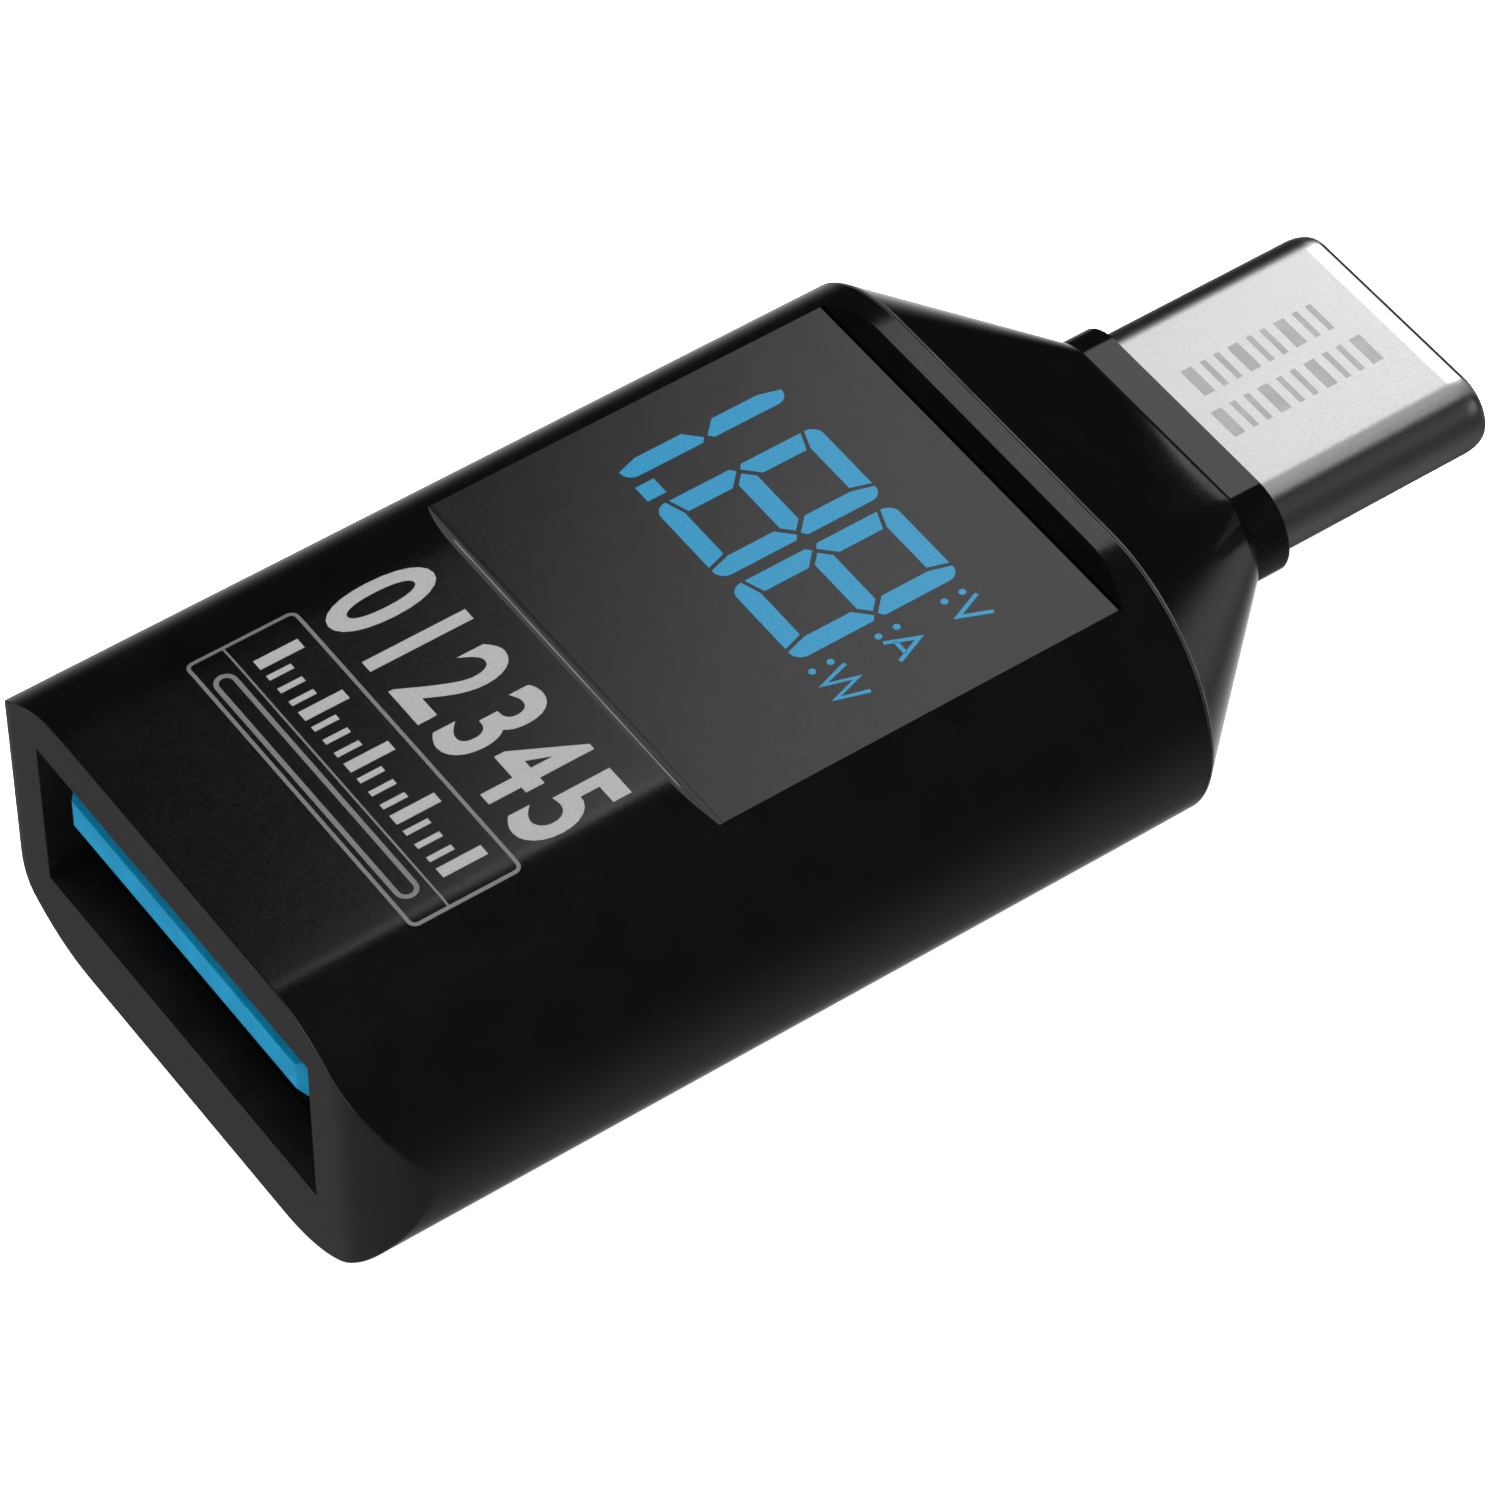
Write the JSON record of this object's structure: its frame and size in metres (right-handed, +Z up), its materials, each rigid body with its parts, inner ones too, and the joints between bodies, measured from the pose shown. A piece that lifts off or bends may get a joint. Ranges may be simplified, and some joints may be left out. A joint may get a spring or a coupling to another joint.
{
  "type": "usb power meter",
  "caption": "In-line power meter: flat-oval gloss black body with a USB-A socket, a segment display for volts, amps and watts, and a USB-C plug.",
  "frame": {"origin": "middle of the bounding box, on the surface the meter lies on", "axes": "+X from the socket's end face to the plug's mouth, +Y to the left seen along +X, +Z up out of the display"},
  "size_m": [0.0382, 0.0182, 0.0091],
  "materials": {
    "housing": "glossy piano-black moulding, faint satin on the flats",
    "window": "satin smoked panel",
    "tongue": "blue moulded plastic, fine grain",
    "socket_steel": "dark plated steel",
    "plug_steel": "bead-blasted nickel-plated steel with a polished lip",
    "contact_metal": "gold-plated copper alloy",
    "board": "green solder resist",
    "diffuser": "translucent film",
    "reflector": "white moulding",
    "ceramic": "ceramic chip part",
    "black_moulding": "matt black moulding"
  },
  "bodies": {
    "root": {"body_sleeve": "housing", "capacitor_1": "ceramic", "capacitor_2": "ceramic", "capacitor_3": "ceramic", "capacitor_4": "ceramic", "display_board": "board", "display_diffuser": "diffuser", "display_header_left": "black_moulding", "display_header_right": "black_moulding", "display_reflector": "reflector", "display_window": "window", "esd_array_1": "black_moulding", "esd_array_2": "black_moulding", "ground_spring_bottom": "plug_steel", "ground_spring_top": "plug_steel", "main_board": "board", "meter_chip": "black_moulding", "nose_cap": "housing", "plug_contact_lower_1": "contact_metal", "plug_contact_lower_10": "contact_metal", "plug_contact_lower_11": "contact_metal", "plug_contact_lower_12": "contact_metal", "plug_contact_lower_2": "contact_metal", "plug_contact_lower_3": "contact_metal", "plug_contact_lower_4": "contact_metal", "plug_contact_lower_5": "contact_metal", "plug_contact_lower_6": "contact_metal", "plug_contact_lower_7": "contact_metal", "plug_contact_lower_8": "contact_metal", "plug_contact_lower_9": "contact_metal", "plug_contact_upper_1": "contact_metal", "plug_contact_upper_10": "contact_metal", "plug_contact_upper_11": "contact_metal", "plug_contact_upper_12": "contact_metal", "plug_contact_upper_2": "contact_metal", "plug_contact_upper_3": "contact_metal", "plug_contact_upper_4": "contact_metal", "plug_contact_upper_5": "contact_metal", "plug_contact_upper_6": "contact_metal", "plug_contact_upper_7": "contact_metal", "plug_contact_upper_8": "contact_metal", "plug_contact_upper_9": "contact_metal", "plug_insulator_lower": "black_moulding", "plug_insulator_upper": "black_moulding", "plug_latch_plate": "plug_steel", "plug_shell": "plug_steel", "regulator_chip": "black_moulding", "shunt_resistor": "ceramic", "socket_contact_1": "contact_metal", "socket_contact_2": "contact_metal", "socket_contact_3": "contact_metal", "socket_contact_4": "contact_metal", "socket_fast_contact_1": "contact_metal", "socket_fast_contact_2": "contact_metal", "socket_fast_contact_3": "contact_metal", "socket_fast_contact_4": "contact_metal", "socket_fast_contact_5": "contact_metal", "socket_insulator": "tongue", "socket_shell": "socket_steel"}
  },
  "joints": []
}
